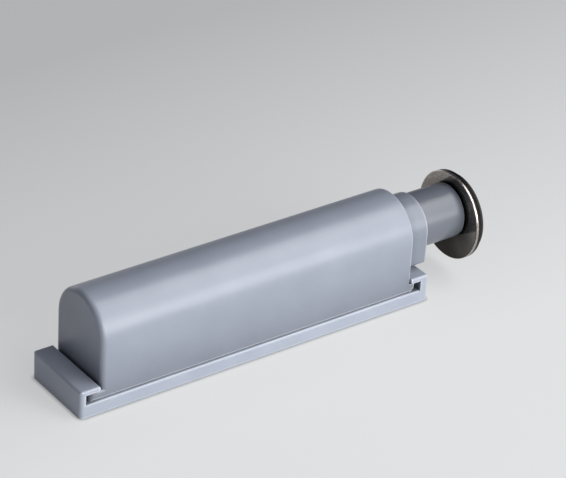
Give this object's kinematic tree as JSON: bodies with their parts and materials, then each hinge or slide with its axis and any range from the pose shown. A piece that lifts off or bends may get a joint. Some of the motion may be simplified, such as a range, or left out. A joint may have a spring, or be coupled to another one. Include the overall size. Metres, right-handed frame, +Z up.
{
  "type": "touch latch",
  "caption": "Push-to-open cabinet latch: arched housing held by the hooks of a mounting plate, sprung plunger with magnet tip and heart-cam track, steel strike disc for the door.",
  "frame": {"origin": "centre of the mounting plate's underside", "axes": "+X the way the plunger comes out, +Z up from the mounting plate"},
  "size_m": [0.0797, 0.0156, 0.0183],
  "materials": {
    "moulded_plastic": "satin moulded",
    "slider_plastic": "moulded",
    "drawn_steel": "drawn wire",
    "plated_steel": "nickel plated",
    "plated_magnet": "nickel plated",
    "soft_rubber": "moulded",
    "foam_pad": "sticky foam"
  },
  "bodies": {
    "housing": {"mounting_plate": "moulded_plastic", "housing": "moulded_plastic", "base_tray": "moulded_plastic", "nose_bush": "moulded_plastic", "rear_block": "moulded_plastic", "guide_pin": "drawn_steel", "rear_buffer": "soft_rubber", "main_spring": "drawn_steel", "latch_wire": "drawn_steel", "wire_spring": "drawn_steel"},
    "plunger": {"slider": "slider_plastic", "plunger_sleeve": "moulded_plastic", "stop_ring": "soft_rubber", "magnet_cup": "plated_steel", "magnet": "plated_magnet", "strike_disc": "plated_steel", "strike_pad": "foam_pad"}
  },
  "joints": [
    {"name": "plunger_slide", "type": "slide", "parent": "housing", "child": "plunger", "axis": [1, 0, 0], "range_m": [-0.003, 0.02], "deforming": ["main_spring", "latch_wire", "wire_spring"]}
  ]
}
